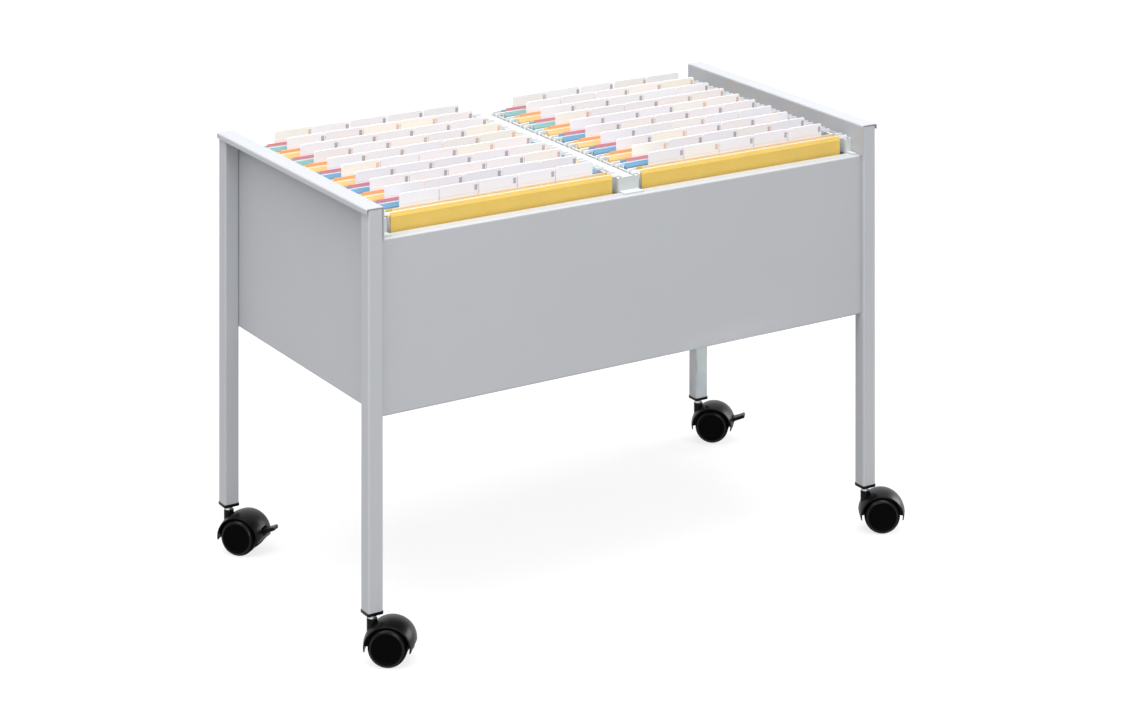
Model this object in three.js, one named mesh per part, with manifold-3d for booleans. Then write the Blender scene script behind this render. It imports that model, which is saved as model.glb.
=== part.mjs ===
// Mobile file cart: four square-tube legs and four folded sheet-steel panels on twin-wheel casters,
// with hanging files in two bays. Millimetres, +Z up, +X to the right and the front towards -Y.
// The origin is on the floor, under the middle of the four legs.

import * as THREE from 'three';
import { mergeVertices } from 'three/addons/utils/BufferGeometryUtils.js';
import Module from 'manifold-3d';

const wasm = await Module();
wasm.setup();

// Cart: over the outer faces of the legs, and floor to the top of the side flanges
const WIDTH = 755;
const DEPTH = 430;
const HEIGHT = 546;

// Gap left at a welded or resting face, and at a face that a neighbour turns or slides against
const SEAM = 0.1;
const PLAY = 0.3;

// Square tube of the legs
const TUBE = 20;
const TUBE_WALL = 1.5;
const TUBE_CORNER = 2;

// Folded sheet of the panels
const SHEET = 1.2;
const BEND_RADIUS = 0.8;
const PANEL_HEIGHT = 254;
const PANEL_HEM = 12;
const FLANGE_OVERHANG = 2.5;
const FLANGE_LIP = 7;
const FRONT_DROP = 40.6;
const FRONT_RECESS = 6;
const FRONT_LIP = 20;
const FRONT_LIP_DROP = 8;

// Rails that carry the files, front to back. The rack stands a little to the right of the middle.
const RACK_SHIFT = 4;
const RAIL_RISE = 18.6;
const RAIL_HEIGHT = 20;
const RAIL_WALL = 3;
const RAIL_GROOVE = 4.4;
const RAIL_CHAMFER = 1;
const RAIL_FLOOR = 6;
const RAIL_BACK = 1.6;
const CENTRE_CORE = 15.2;
const RAIL_END_PLATE = 2;
const RAIL_TONGUE = 14;
const RAIL_TONGUE_THICKNESS = 1.6;

// Hanging files
const FILES_PER_BAY = 10;
const FILE_END_GAP = 7;
const FILE_ROW_GAP = 2;
const FILE_THICKNESS = 16;
const FILE_HEIGHT = 226;
const FILE_BASE = 10;
const FILE_TAPER = 24;
const FILE_LEAF = 1;
const HEM_THICKNESS = 3.2;
const HEM_HEIGHT = 12;
const HEM_RISE = 4.6;
const HEM_SLOPE = 4;
const HEM_LEAN = 1.6;
const HANGER_THICKNESS = 1.2;
const HANGER_RISE = 4;
const HOOK_DROP = 4.5;
const HOOK_TIP = 2.2;
const PAPER_HEIGHT = 208;
const TABS_PER_FILE = 5;
const TAB_WIDTH = 54;
const TAB_PITCH = 55;
const TAB_SHIFT = -1.5;
const TAB_RISE = 17;
const TAB_THICKNESS = 1.2;
const TAB_GRIP = 3;

// Wheels: tread, rounded shoulder, hollow inner side and sunk outer face
const WHEEL_RADIUS = 24;
const WHEEL_WIDTH = 17.6;
const WHEEL_TRACK = 9;
const WHEEL_HUB = 7;
const RIM_WALL = 3.4;
const RIM_HOLLOW = 5;
const SHOULDER_WIDTH = 5;
const SHOULDER_DEPTH = 3;
const FACE_EDGE = 1;
const FACE_SINK = 0.6;
const AXLE_RADIUS = 3;
const AXLE_PLAY = 0.15;
const AXLE_GRIP = 9.5;

// Caster housing: a crowned hood over both wheels, stretched along the caster and set a little lower
// than the axle, with a web between the wheels and a boss for the stem
const CASTER_TRAIL = 22;
const WEB = 6.4;
const WEB_HUB = 8;
const TREAD_GAP = 2.8;
const HOOD_WALL = 2.4;
const HOOD_CROWN = 2.6;
const HOOD_INNER_CROWN = 1.6;
const HOOD_WIDTH = 39;
const HOOD_STRETCH = 1.08;
const HOOD_DROP = 0.5;
const HOOD_SHOULDER_ANGLE = 6;
const HOOD_TIP_ANGLE = 10;
const BOSS_RADIUS = 6.4;
const BOSS_RISE = 4;

// Stem and the plug that holds it in the tube
const STEM_RADIUS = 4;
const STEM_DEPTH = 9;
const STEM_PIN_RADIUS = 4.8;
const STEM_PIN_LENGTH = 22;
const NECK_RADIUS = 5.4;
const NECK = 6.4;
const PLUG_COLLAR = 2.8;
const PLUG_PROUD = 0.25;
const PLUG_SHANK = 26;

// Brake levers of the rear casters, with angles about the hood's middle, 0 straight back
const LEVER_ANGLE = 15;
const LEVER_TILT = 18;
const LEVER_LENGTH = 18;
const LEVER_WIDTH = 12;
const LEVER_BOSS = 2.9;
const LEVER_TIP = 1.2;
const LEVER_PIN_RADIUS = 0.9;
const LEVER_PIN_LENGTH = 15.6;
const LEVER_SLOT_BELOW = 18;
const LEVER_SLOT_ABOVE = 17;

// Each caster: its corner of the cart, the way it trails at rest in degrees from +X, and its brake
const CASTERS = {
  front_left: { side: -1, end: -1, heading: -39, brake: false },
  front_right: { side: 1, end: -1, heading: -33, brake: false },
  rear_left: { side: -1, end: 1, heading: -52, brake: true },
  rear_right: { side: 1, end: 1, heading: -41, brake: true },
};

// Facets of round work
const BEND_STEPS = 3;
const CORNER_STEPS = 1;
const WHEEL_STEPS = 20;
const SHOULDER_STEPS = 3;
const HOOD_STEPS = 28;
const CROWN_STEPS = 3;
const PIN_STEPS = 12;

// Heights and faces that several pieces share
const bossTop = 2 * WHEEL_RADIUS + BOSS_RISE;
const plugFoot = bossTop + NECK;
const legFoot = plugFoot + PLUG_COLLAR;
const legTop = HEIGHT - SHEET - BEND_RADIUS;
const panelFoot = HEIGHT - PANEL_HEIGHT;
const frontTop = HEIGHT - FRONT_DROP;
const railTop = frontTop + RAIL_RISE;
const railFoot = railTop - RAIL_HEIGHT;
const legInner = WIDTH / 2 - TUBE;
const legAxisX = (WIDTH - TUBE) / 2;
const legAxisY = (DEPTH - TUBE) / 2;
const tubeBore = TUBE - 2 * TUBE_WALL;
const webOuter = legInner - SEAM;
const webInner = webOuter - SHEET;
const frontFace = DEPTH / 2 - FRONT_RECESS;
const frontBack = frontFace - SHEET;
const frontHemEdge = frontFace - PANEL_HEM;
const frontLipEdge = frontFace - FRONT_LIP;
const railEnd = frontLipEdge - PLAY;
const sideRailBack = webInner - SEAM;
const sideRailFace = sideRailBack - RAIL_BACK - RAIL_GROOVE - RAIL_WALL - RACK_SHIFT;
const centreRailFace = CENTRE_CORE / 2 + RAIL_GROOVE + RAIL_WALL;
const bayCentre = (sideRailFace + centreRailFace) / 2;
const fileLength = sideRailFace - centreRailFace - 2 * FILE_END_GAP;
const hoodInner = WHEEL_RADIUS + TREAD_GAP;
const hoodTop = hoodInner + HOOD_WALL;
const hoodHalf = HOOD_WIDTH / 2;
const hoodAxis = WHEEL_RADIUS - HOOD_DROP;
const leverPivot = hoodInner + HOOD_WALL / 4;

// Finishes
const finish = (color, roughness, metalness) =>
  new THREE.MeshStandardMaterial({ color, roughness, metalness });
const silverPaint = finish(0xb4b6ba, 0.45, 0.2);
const whiteRail = finish(0xe9ecea, 0.4, 0.0);
const blackPlastic = finish(0x141414, 0.45, 0.0);
const brightSteel = finish(0xc8cacc, 0.25, 1.0);
const cardTeal = finish(0x5fa9a6, 0.8, 0.0);
const cardOrange = finish(0xf0a24a, 0.8, 0.0);
const cardBlue = finish(0x5a8fc2, 0.8, 0.0);
const cardYellow = finish(0xe6c24c, 0.8, 0.0);
const fileColours = [
  cardYellow, cardBlue, cardOrange, cardBlue, cardOrange,
  cardBlue, cardOrange, cardTeal, cardOrange, cardTeal,
];

const radians = THREE.MathUtils.degToRad;
const X = new THREE.Vector3(1, 0, 0);
const Y = new THREE.Vector3(0, 1, 0);
const Z = new THREE.Vector3(0, 0, 1);

// A closed solid of a geometry, with its shared corners merged and its empty triangles dropped
function solidOf(geometry) {
  const bare = geometry.clone();
  bare.deleteAttribute('normal');
  bare.deleteAttribute('uv');
  const merged = mergeVertices(bare);
  const index = merged.index.array;
  const kept = [];
  for (let i = 0; i < index.length; i += 3) {
    const corners = [index[i], index[i + 1], index[i + 2]];
    if (new Set(corners).size === 3) kept.push(...corners);
  }
  return new wasm.Manifold(new wasm.Mesh({
    numProp: 3,
    vertProperties: Float32Array.from(merged.attributes.position.array),
    triVerts: Uint32Array.from(kept),
  }));
}

function geometryOf(solid) {
  const mesh = solid.getMesh();
  const geometry = new THREE.BufferGeometry();
  geometry.setAttribute('position', new THREE.BufferAttribute(mesh.vertProperties, 3));
  geometry.setIndex(new THREE.BufferAttribute(mesh.triVerts, 1));
  geometry.computeVertexNormals();
  return geometry;
}

function place(parent, name, solid, material, position = [0, 0, 0], turn = 0) {
  const mesh = new THREE.Mesh(geometryOf(solid), material);
  mesh.name = name;
  mesh.position.set(...position);
  mesh.rotation.z = turn;
  parent.add(mesh);
}

const ordered = (a, b) => [Math.min(a, b), Math.max(a, b)];

// A box between two values on each axis, in either order
function box(xs, ys, zs) {
  const spans = [ordered(...xs), ordered(...ys), ordered(...zs)];
  const size = spans.map(([from, to]) => to - from);
  const middle = spans.map(([from, to]) => (to + from) / 2);
  return solidOf(new THREE.BoxGeometry(...size).translate(...middle));
}

// A flat outline carried along one axis, from one place on it to another
function extrude(shape, from, to, across, up, along) {
  const geometry = new THREE.ExtrudeGeometry(shape, {
    depth: to - from,
    bevelEnabled: false,
    curveSegments: CORNER_STEPS,
  });
  geometry.translate(0, 0, from);
  geometry.applyMatrix4(new THREE.Matrix4().makeBasis(across, up, along));
  return solidOf(geometry);
}

const alongX = (shape, from, to) => extrude(shape, from, to, Y, Z, X);
const alongY = (shape, from, to) => extrude(shape, -to, -from, X, Z, Y.clone().negate());
const alongZ = (shape, from, to) => extrude(shape, from, to, X, Y, Z);

const points = (pairs) => pairs.map(([u, v]) => new THREE.Vector2(u, v));
const outline = (pairs) => new THREE.Shape(points(pairs));

// An upright pin on the Z axis
function uprightPin(radius, from, to) {
  const geometry = new THREE.CylinderGeometry(radius, radius, to - from, PIN_STEPS);
  return solidOf(geometry.rotateX(Math.PI / 2).translate(0, 0, (from + to) / 2));
}

// A pin that lies along Y, at a place in the X-Z plane
function crossPin(radius, from, to, [x, z], steps = PIN_STEPS) {
  const geometry = new THREE.CylinderGeometry(radius, radius, to - from, steps);
  return solidOf(geometry.translate(x, (from + to) / 2, z));
}

// Corners of a square about the axis, and a square with rounded corners
function square(side) {
  const half = side / 2;
  return points([[half, half], [-half, half], [-half, -half], [half, -half]]);
}

function roundedSquare(side, corner) {
  const half = side / 2;
  const flat = half - corner;
  const shape = new THREE.Shape();
  shape.moveTo(half, -flat);
  shape.lineTo(half, flat);
  shape.absarc(flat, flat, corner, 0, Math.PI / 2);
  shape.lineTo(-flat, half);
  shape.absarc(-flat, flat, corner, Math.PI / 2, Math.PI);
  shape.lineTo(-half, -flat);
  shape.absarc(-flat, -flat, corner, Math.PI, 1.5 * Math.PI);
  shape.lineTo(flat, -half);
  shape.absarc(flat, -flat, corner, 1.5 * Math.PI, 2 * Math.PI);
  return shape;
}

// Section of a sheet folded square along a path of corners on its centre line. The centre line
// takes each corner on an arc, and the two faces lie half a thickness to either side of it.
function foldedSheet(path) {
  const corners = points(path);
  const last = corners.length - 1;
  const radius = BEND_RADIUS + SHEET / 2;
  const heading = (i) => corners[i + 1].clone().sub(corners[i]).normalize();
  const normal = (direction) => new THREE.Vector2(-direction.y, direction.x);
  const leftFace = [];
  const rightFace = [];
  const station = (point, direction) => {
    leftFace.push(point.clone().addScaledVector(normal(direction), SHEET / 2));
    rightFace.unshift(point.clone().addScaledVector(normal(direction), -SHEET / 2));
  };
  station(corners[0], heading(0));
  for (let i = 1; i < last; i += 1) {
    const into = heading(i - 1);
    const turn = Math.sign(into.cross(heading(i)));
    const centre = corners[i].clone().addScaledVector(into, -radius);
    centre.addScaledVector(normal(into), turn * radius);
    for (let step = 0; step <= BEND_STEPS; step += 1) {
      const angle = turn * (Math.PI / 2) * (step / BEND_STEPS);
      const direction = into.clone().rotateAround(new THREE.Vector2(), angle);
      station(centre.clone().addScaledVector(normal(direction), -turn * radius), direction);
    }
  }
  station(corners[last], heading(last - 1));
  return new THREE.Shape([...leftFace, ...rightFace]);
}

// Leg: a square tube, open at both ends
function leg() {
  const section = roundedSquare(TUBE, TUBE_CORNER);
  section.holes.push(new THREE.Path(square(tubeBore)));
  return alongZ(section, legFoot, legTop);
}

// Right side panel: a hem along the foot, the wall against the legs, and a flange that runs out
// over the tops of the tubes and turns down past them in a lip. The wall stops short of the front
// and rear panels below their tops, and the hem stops short of theirs.
function sidePanel() {
  const half = SHEET / 2;
  const lip = WIDTH / 2 + FLANGE_OVERHANG - half;
  const section = foldedSheet([
    [webOuter - PANEL_HEM, panelFoot + half],
    [webOuter - half, panelFoot + half],
    [webOuter - half, HEIGHT - half],
    [lip, HEIGHT - half],
    [lip, HEIGHT - FLANGE_LIP],
  ]);
  const hemTop = panelFoot + SHEET + BEND_RADIUS + SEAM;
  let panel = alongY(section, -DEPTH / 2, DEPTH / 2);
  for (const end of [-1, 1]) {
    const pastWall = [end * (frontBack - SEAM), end * DEPTH];
    const pastHem = [end * (frontHemEdge - SEAM), end * DEPTH];
    panel = panel.subtract(box([0, legInner], pastWall, [0, frontTop + SEAM]));
    panel = panel.subtract(box([0, webInner], pastHem, [0, hemTop]));
  }
  return panel;
}

// Front panel: a hem along the foot, the face, and a lip that turns in at the top and then down.
// Behind the face, its ends are notched to clear the side panels.
function frontPanel() {
  const half = SHEET / 2;
  const section = foldedSheet([
    [-frontHemEdge, panelFoot + half],
    [-frontFace + half, panelFoot + half],
    [-frontFace + half, frontTop - half],
    [-frontLipEdge - half, frontTop - half],
    [-frontLipEdge - half, frontTop - FRONT_LIP_DROP],
  ]);
  let panel = alongX(section, -webOuter, webOuter);
  for (const side of [-1, 1]) {
    const pastSide = [side * (webInner - SEAM), side * WIDTH];
    panel = panel.subtract(box(pastSide, [-frontBack, 0], [0, HEIGHT]));
  }
  return panel;
}

// A rail's section carried front to back and closed at each end by a plate, whose tongue lies on
// the lip of the front or rear panel
function railWithEnds(section, xs) {
  const tongueFoot = frontTop + SEAM;
  let rail = alongY(section, -railEnd, railEnd);
  for (const end of [-1, 1]) {
    const plateBack = end * (railEnd - RAIL_END_PLATE);
    const tongueTip = end * (railEnd + RAIL_TONGUE);
    rail = rail.add(box(xs, [end * railEnd, plateBack], [railFoot, railTop - RAIL_CHAMFER]));
    rail = rail.add(box(xs, [tongueTip, plateBack], [tongueFoot, tongueFoot + RAIL_TONGUE_THICKNESS]));
  }
  return rail;
}

// Centre rail: a wall and a groove for the hooks of each bay, with a core between them
function centreRail() {
  const face = centreRailFace;
  const wall = face - RAIL_WALL;
  const core = CENTRE_CORE / 2;
  const floor = railFoot + RAIL_FLOOR;
  const brow = railTop - RAIL_CHAMFER;
  const section = outline([
    [-face, railFoot], [face, railFoot], [face, brow], [face - RAIL_CHAMFER, railTop],
    [wall + RAIL_CHAMFER, railTop], [wall, brow], [wall, floor], [core, floor], [core, brow],
    [core - RAIL_CHAMFER, railTop], [RAIL_CHAMFER - core, railTop], [-core, brow], [-core, floor],
    [-wall, floor], [-wall, brow], [-wall - RAIL_CHAMFER, railTop],
    [RAIL_CHAMFER - face, railTop], [-face, brow],
  ]);
  return railWithEnds(section, [RAIL_CHAMFER - face, face - RAIL_CHAMFER]);
}

// Right side rail, by how far the rack is shifted towards its panel: a back against the panel,
// a groove and one wall for the hooks
function sideRail(shift) {
  const face = sideRailFace + shift;
  const wall = face + RAIL_WALL;
  const back = wall + RAIL_GROOVE;
  const floor = railFoot + RAIL_FLOOR;
  const brow = railTop - RAIL_CHAMFER;
  const section = outline([
    [face, railFoot], [sideRailBack, railFoot], [sideRailBack, railTop], [back, railTop],
    [back, floor], [wall, floor], [wall, brow], [wall - RAIL_CHAMFER, railTop],
    [face + RAIL_CHAMFER, railTop], [face, brow],
  ]);
  return railWithEnds(section, [face + RAIL_CHAMFER, sideRailBack - RAIL_CHAMFER]);
}

// Hanging file, from the middle of its length with the tops of the rails at height 0: a folded card
// full of papers, a hem with a sloping shoulder along both upper edges, a hanger bar in each hem,
// and a row of tabs in the rear one
function hangingFile() {
  const half = FILE_THICKNESS / 2;
  const base = FILE_BASE / 2;
  const bottom = -FILE_HEIGHT;
  const knee = bottom + FILE_TAPER;
  const hemFoot = HEM_RISE - HEM_HEIGHT;
  const hemBack = half - HEM_THICKNESS;
  const shoulder = HEM_RISE - HEM_SLOPE;
  const ridge = half - HEM_LEAN;
  const leaf = half - FILE_LEAF;
  const paperTop = bottom + PAPER_HEIGHT;
  const card = outline([
    [-base, bottom], [base, bottom], [half, knee], [half, shoulder], [ridge, HEM_RISE],
    [hemBack, HEM_RISE], [hemBack, hemFoot], [leaf, hemFoot], [leaf, paperTop],
    [-leaf, paperTop], [-leaf, hemFoot], [-hemBack, hemFoot], [-hemBack, HEM_RISE],
    [-ridge, HEM_RISE], [-half, shoulder], [-half, knee],
  ]);
  const end = fileLength / 2;
  let file = alongX(card, -end, end);

  const hookIn = end + FILE_END_GAP + RAIL_WALL + (RAIL_GROOVE - HOOK_TIP) / 2;
  const hookOut = hookIn + HOOK_TIP;
  const hanger = outline([
    [-hookIn, PLAY], [hookIn, PLAY], [hookIn, -HOOK_DROP], [hookOut, -HOOK_DROP],
    [hookOut, HANGER_RISE], [-hookOut, HANGER_RISE], [-hookOut, -HOOK_DROP], [-hookIn, -HOOK_DROP],
  ]);
  const hemMiddle = half - (HEM_THICKNESS + HEM_LEAN) / 2;
  const hangerHalf = HANGER_THICKNESS / 2;
  for (const middle of [-hemMiddle, hemMiddle]) {
    file = file.add(alongY(hanger, middle - hangerHalf, middle + hangerHalf));
  }

  const tabFaces = [hemMiddle - TAB_THICKNESS / 2, hemMiddle + TAB_THICKNESS / 2];
  for (let i = 0; i < TABS_PER_FILE; i += 1) {
    const middle = TAB_SHIFT + (i - (TABS_PER_FILE - 1) / 2) * TAB_PITCH;
    const sides = [middle - TAB_WIDTH / 2, middle + TAB_WIDTH / 2];
    file = file.add(box(sides, tabFaces, [HEM_RISE - TAB_GRIP, HEM_RISE + TAB_RISE]));
  }
  return file;
}

// Tube plug: a collar that covers the end of the tube and a shank inside it, bored for the stem
function tubePlug() {
  const collar = alongZ(roundedSquare(TUBE + 2 * PLUG_PROUD, TUBE_CORNER), plugFoot, legFoot - SEAM);
  const shank = alongZ(new THREE.Shape(square(tubeBore - 2 * PLAY)), plugFoot, legFoot + PLUG_SHANK);
  return collar.add(shank).subtract(uprightPin(STEM_PIN_RADIUS + AXLE_PLAY, 0, HEIGHT));
}

// Stem: a pin down into the caster's boss, a bare neck and a pin up into the plug
function stem() {
  const foot = bossTop - STEM_DEPTH;
  const top = plugFoot + STEM_PIN_LENGTH;
  const section = points([
    [0, foot], [STEM_RADIUS, foot], [STEM_RADIUS, bossTop + PLAY], [NECK_RADIUS, bossTop + PLAY],
    [NECK_RADIUS, plugFoot - SEAM], [STEM_PIN_RADIUS, plugFoot - SEAM], [STEM_PIN_RADIUS, top], [0, top],
  ]);
  return solidOf(new THREE.LatheGeometry(section, PIN_STEPS).rotateX(Math.PI / 2));
}

// Wheel, along its axle from the middle of the caster: hollow on the inner side round a hub, with
// a tread that rounds off on a quarter ellipse to a sunk outer face. A facet faces the floor.
function wheel() {
  const inner = WHEEL_TRACK / 2;
  const outer = inner + WHEEL_WIDTH;
  const bore = AXLE_RADIUS + AXLE_PLAY;
  const boreEnd = inner + AXLE_GRIP + PLAY;
  const hubFace = WEB / 2 + PLAY;
  const rim = WHEEL_RADIUS - RIM_WALL;
  const face = WHEEL_RADIUS - SHOULDER_DEPTH;
  const section = [
    [0, boreEnd], [bore, boreEnd], [bore, hubFace], [WHEEL_HUB, hubFace],
    [WHEEL_HUB, inner + RIM_HOLLOW], [rim, inner + RIM_HOLLOW], [rim, inner], [WHEEL_RADIUS, inner],
  ];
  for (let i = 0; i <= SHOULDER_STEPS; i += 1) {
    const angle = (Math.PI / 2) * (i / SHOULDER_STEPS);
    const drop = SHOULDER_WIDTH * (1 - Math.sin(angle));
    section.push([face + SHOULDER_DEPTH * Math.cos(angle), outer - drop]);
  }
  section.push([face - FACE_EDGE, outer - FACE_SINK], [0, outer - FACE_SINK]);
  const flatDown = Math.PI / WHEEL_STEPS;
  return solidOf(new THREE.LatheGeometry(points(section), WHEEL_STEPS, flatDown));
}

// A point of the caster's X-Z plane by its distance from the hood's middle, before the stretch, and its
// angle up from the back
function polar(radius, degrees) {
  const angle = radians(degrees);
  return [CASTER_TRAIL + HOOD_STRETCH * radius * Math.cos(angle), hoodAxis + radius * Math.sin(angle)];
}

const axlePlace = [CASTER_TRAIL, WHEEL_RADIUS];

// A stretched solid along the axle, from one place to another: its radius is largest at the middle
// of the caster and falls by its crown, on a parabola, to the rims of the hood
function hoodSolid(radius, crown, from, to, steps) {
  const section = [[0, from]];
  for (let i = 0; i <= steps; i += 1) {
    const y = from + (to - from) * (i / steps);
    section.push([radius - crown * (y / hoodHalf) ** 2, y]);
  }
  section.push([0, to]);
  const geometry = new THREE.LatheGeometry(points(section), HOOD_STEPS);
  return solidOf(geometry.scale(HOOD_STRETCH, 1, 1).translate(CASTER_TRAIL, 0, hoodAxis));
}

// Housing: a domed hood over the axle, kept above two tapering tips, with the stem's boss in front
// and a well cut for each wheel, which leave the web between them
function housing(brake) {
  const reach = 2 * hoodTop;
  const kept = outline([
    axlePlace, polar(hoodInner, -HOOD_TIP_ANGLE), polar(hoodTop, HOOD_SHOULDER_ANGLE),
    [CASTER_TRAIL + reach, WHEEL_RADIUS + reach], [CASTER_TRAIL - reach, WHEEL_RADIUS + reach],
    polar(hoodTop, 180 - HOOD_SHOULDER_ANGLE), polar(hoodInner, 180 + HOOD_TIP_ANGLE),
  ]);
  let body = hoodSolid(hoodTop, HOOD_CROWN, -hoodHalf, hoodHalf, 2 * CROWN_STEPS);
  body = body.intersect(alongY(kept, -HOOD_WIDTH, HOOD_WIDTH));
  body = body.add(uprightPin(BOSS_RADIUS, WHEEL_RADIUS, bossTop));
  body = body.add(crossPin(WEB_HUB, -WEB / 2, WEB / 2, axlePlace));
  for (const side of [-1, 1]) {
    const [from, to] = ordered(side * (WEB / 2), side * (hoodHalf + PLAY));
    body = body.subtract(hoodSolid(hoodInner, HOOD_INNER_CROWN, from, to, CROWN_STEPS));
  }
  body = body.subtract(uprightPin(STEM_RADIUS + AXLE_PLAY, bossTop - STEM_DEPTH - PLAY, HEIGHT));
  body = body.subtract(crossPin(AXLE_RADIUS + AXLE_PLAY, -HOOD_WIDTH, HOOD_WIDTH, axlePlace));
  return brake ? body.subtract(leverRoom()) : body;
}

// Room for a brake lever: a slot through the hood and a bore for its pin
function leverRoom() {
  const slotHalf = LEVER_WIDTH / 2 + PLAY;
  const pinHalf = LEVER_PIN_LENGTH / 2 + PLAY;
  const floor = leverPivot - LEVER_BOSS - PLAY;
  const low = LEVER_ANGLE - LEVER_SLOT_BELOW;
  const high = LEVER_ANGLE + LEVER_SLOT_ABOVE;
  const slot = outline([
    polar(floor, low), polar(2 * hoodTop, low), polar(2 * hoodTop, high), polar(floor, high),
    polar(floor, LEVER_ANGLE),
  ]);
  const bore = crossPin(LEVER_PIN_RADIUS + AXLE_PLAY, -pinHalf, pinHalf, polar(leverPivot, LEVER_ANGLE));
  return alongY(slot, -slotHalf, slotHalf).add(bore);
}

// Brake lever: a boss on a pin, and a tongue that tapers to its tip
function brakeLever() {
  const pivot = new THREE.Vector2(...polar(leverPivot, LEVER_ANGLE));
  const tilt = radians(LEVER_TILT);
  const at = (out, up) => {
    const point = new THREE.Vector2(out, up).rotateAround(new THREE.Vector2(), tilt).add(pivot);
    return [point.x, point.y];
  };
  const half = LEVER_WIDTH / 2;
  const pinHalf = LEVER_PIN_LENGTH / 2;
  const tongue = outline([
    at(0, -LEVER_BOSS), at(LEVER_LENGTH - LEVER_BOSS, -LEVER_TIP), at(LEVER_LENGTH, LEVER_TIP),
    at(LEVER_LENGTH - LEVER_TIP, LEVER_BOSS), at(LEVER_LENGTH / 2, LEVER_TIP), at(0, LEVER_BOSS),
  ]);
  let lever = alongY(tongue, -half, half);
  lever = lever.add(crossPin(LEVER_BOSS, -half, half, pivot.toArray()));
  return lever.add(crossPin(LEVER_PIN_RADIUS, -pinHalf, pinHalf, pivot.toArray()));
}

// Assembly
const cart = new THREE.Group();

const legSolid = leg();
const plugSolid = tubePlug();
const stemSolid = stem();
const wheelSolid = wheel();
const axleSolid = crossPin(AXLE_RADIUS, -WHEEL_TRACK / 2 - AXLE_GRIP, WHEEL_TRACK / 2 + AXLE_GRIP, axlePlace);
const plainHousing = housing(false);
const brakeHousing = housing(true);
const leverSolid = brakeLever();
for (const [corner, { side, end, heading, brake }] of Object.entries(CASTERS)) {
  const foot = [side * legAxisX, end * legAxisY, 0];
  place(cart, `leg_${corner}`, legSolid, silverPaint, foot);
  place(cart, `tube_plug_${corner}`, plugSolid, blackPlastic, foot);
  place(cart, `caster_stem_${corner}`, stemSolid, brightSteel, foot);
  const caster = new THREE.Group();
  caster.position.set(...foot);
  caster.rotation.z = radians(heading);
  place(caster, `caster_housing_${corner}`, brake ? brakeHousing : plainHousing, blackPlastic);
  place(caster, `caster_axle_${corner}`, axleSolid, brightSteel);
  const wheelPlace = [CASTER_TRAIL, 0, WHEEL_RADIUS];
  place(caster, `caster_wheel_left_${corner}`, wheelSolid, blackPlastic, wheelPlace);
  place(caster, `caster_wheel_right_${corner}`, wheelSolid, blackPlastic, wheelPlace, Math.PI);
  if (brake) place(caster, `brake_lever_${corner}`, leverSolid, blackPlastic);
  cart.add(caster);
}

place(cart, 'side_panel_right', sidePanel(), silverPaint);
place(cart, 'side_panel_left', sidePanel(), silverPaint, [0, 0, 0], Math.PI);
place(cart, 'front_panel', frontPanel(), silverPaint);
place(cart, 'rear_panel', frontPanel(), silverPaint, [0, 0, 0], Math.PI);
place(cart, 'file_rail_centre', centreRail(), whiteRail, [RACK_SHIFT, 0, 0]);
place(cart, 'file_rail_right', sideRail(RACK_SHIFT), whiteRail);
place(cart, 'file_rail_left', sideRail(-RACK_SHIFT), whiteRail, [0, 0, 0], Math.PI);

const fileSolid = hangingFile();
const firstFile = -(railEnd - RAIL_END_PLATE - FILE_ROW_GAP - FILE_THICKNESS / 2);
const filePitch = (-2 * firstFile) / (FILES_PER_BAY - 1);
for (const [bay, side] of [['left', -1], ['right', 1]]) {
  for (let row = 0; row < FILES_PER_BAY; row += 1) {
    const number = String(row + 1).padStart(2, '0');
    const colour = fileColours[row % fileColours.length];
    const hung = [RACK_SHIFT + side * bayCentre, firstFile + row * filePitch, railTop];
    place(cart, `hanging_file_${bay}_${number}`, fileSolid, colour, hung);
  }
}

export default cart;
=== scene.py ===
"""Dresses the mobile file cart: powder coat on its steel, smooth casters, tabbed files and a white studio."""

import math

import bpy
import numpy as np
from bpy.props import FloatProperty, FloatVectorProperty, IntProperty, PointerProperty
from mathutils import Matrix, Vector


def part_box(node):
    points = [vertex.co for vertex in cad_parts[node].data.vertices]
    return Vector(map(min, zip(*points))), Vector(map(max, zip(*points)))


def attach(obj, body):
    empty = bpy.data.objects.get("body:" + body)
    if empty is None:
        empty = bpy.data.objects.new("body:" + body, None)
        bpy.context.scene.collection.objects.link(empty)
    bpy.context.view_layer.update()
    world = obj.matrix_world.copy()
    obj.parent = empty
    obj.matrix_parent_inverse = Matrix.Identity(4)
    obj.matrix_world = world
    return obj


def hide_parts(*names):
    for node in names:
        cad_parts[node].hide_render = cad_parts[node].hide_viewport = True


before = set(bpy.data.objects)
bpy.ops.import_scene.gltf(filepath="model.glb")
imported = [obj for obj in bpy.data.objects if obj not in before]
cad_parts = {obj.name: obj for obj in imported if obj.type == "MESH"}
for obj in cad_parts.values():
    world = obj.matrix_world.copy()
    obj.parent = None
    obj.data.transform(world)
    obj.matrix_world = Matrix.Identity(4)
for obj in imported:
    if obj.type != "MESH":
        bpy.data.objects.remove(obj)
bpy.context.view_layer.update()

bl_info = {
    "name": "Mobile File Cart",
    "version": (1, 0, 0),
    "blender": (4, 5, 0),
    "location": "View3D > Sidebar > File Cart",
    "description": "Finishes, casters, hanging files and studio of a mobile file cart",
    "category": "Object",
}

MM = 0.001

CORNERS = ("front_left", "front_right", "rear_left", "rear_right")
BRAKED = ("rear_left", "rear_right")
BAYS = ("left", "right")

WHITE = (1.0, 1.0, 1.0, 1.0)
UNLIT = (0.0, 0.0, 0.0, 1.0)


# Values that a user would change

def colour(name, description, default):
    return FloatVectorProperty(
        name=name, description=description, subtype="COLOR", size=3, min=0, max=1, default=default)


def length(name, description, millimetres):
    return FloatProperty(
        name=name, description=description, subtype="DISTANCE", unit="LENGTH", default=millimetres * MM)


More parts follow.
